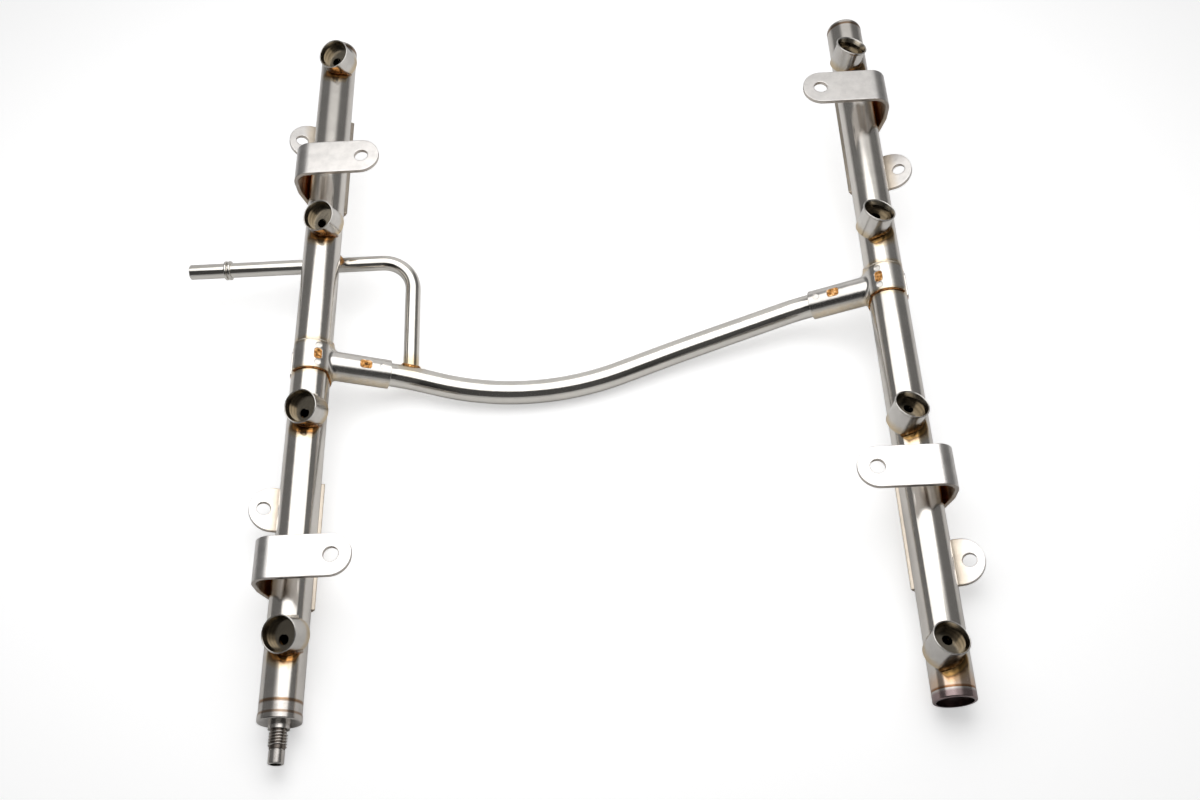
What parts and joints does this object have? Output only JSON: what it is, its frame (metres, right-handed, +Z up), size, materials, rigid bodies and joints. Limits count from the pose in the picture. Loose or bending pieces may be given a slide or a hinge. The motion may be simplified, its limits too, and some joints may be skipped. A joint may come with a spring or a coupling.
{
  "type": "fuel rail",
  "caption": "Fuel rail assembly of a V engine: two straight rail tubes with injector cups, stamped mounting brackets, a bent crossover tube and a beaded feed pipe.",
  "frame": {"origin": "under the middle of the object, on the level of its lowest point, with the injector cups facing up", "axes": "+Y along the rail tubes away from the service port, +X from the left rail, with the feed pipe, to the right rail, +Z up out of the injector cups"},
  "size_m": [0.3878, 0.4062, 0.0522],
  "materials": {
    "tube_steel": "bright drawn stainless tube with faint lengthwise lines and light heat tint",
    "cup_steel": "turned stainless, bright lip, brown heat tint inside",
    "bracket_steel": "stamped stainless, pale and mottled after furnace brazing",
    "fitting_steel": "formed stainless with stake marks",
    "pipe_steel": "bright drawn stainless pipe",
    "end_steel": "turned stainless with violet and brown heat tint",
    "brazing_metal": "copper brazing metal, orange to brown"
  },
  "bodies": {
    "root": {"crossover_tube": "pipe_steel", "feed_joint_braze": "brazing_metal", "feed_pipe": "pipe_steel", "feed_pipe_tack": "brazing_metal", "left_bracket_1": "bracket_steel", "left_bracket_2": "bracket_steel", "left_crossover_fitting": "fitting_steel", "left_cup_1": "cup_steel", "left_cup_2": "cup_steel", "left_cup_3": "cup_steel", "left_cup_4": "cup_steel", "left_cup_braze_1": "brazing_metal", "left_cup_braze_2": "brazing_metal", "left_cup_braze_3": "brazing_metal", "left_cup_braze_4": "brazing_metal", "left_far_end_cap": "end_steel", "left_fitting_braze": "brazing_metal", "left_rail_tube": "tube_steel", "left_service_port": "end_steel", "right_bracket_1": "bracket_steel", "right_bracket_2": "bracket_steel", "right_crossover_fitting": "fitting_steel", "right_cup_1": "cup_steel", "right_cup_2": "cup_steel", "right_cup_3": "cup_steel", "right_cup_4": "cup_steel", "right_cup_braze_1": "brazing_metal", "right_cup_braze_2": "brazing_metal", "right_cup_braze_3": "brazing_metal", "right_cup_braze_4": "brazing_metal", "right_far_end_cap": "end_steel", "right_fitting_braze": "brazing_metal", "right_near_end_plug": "end_steel", "right_rail_tube": "tube_steel"}
  },
  "joints": []
}
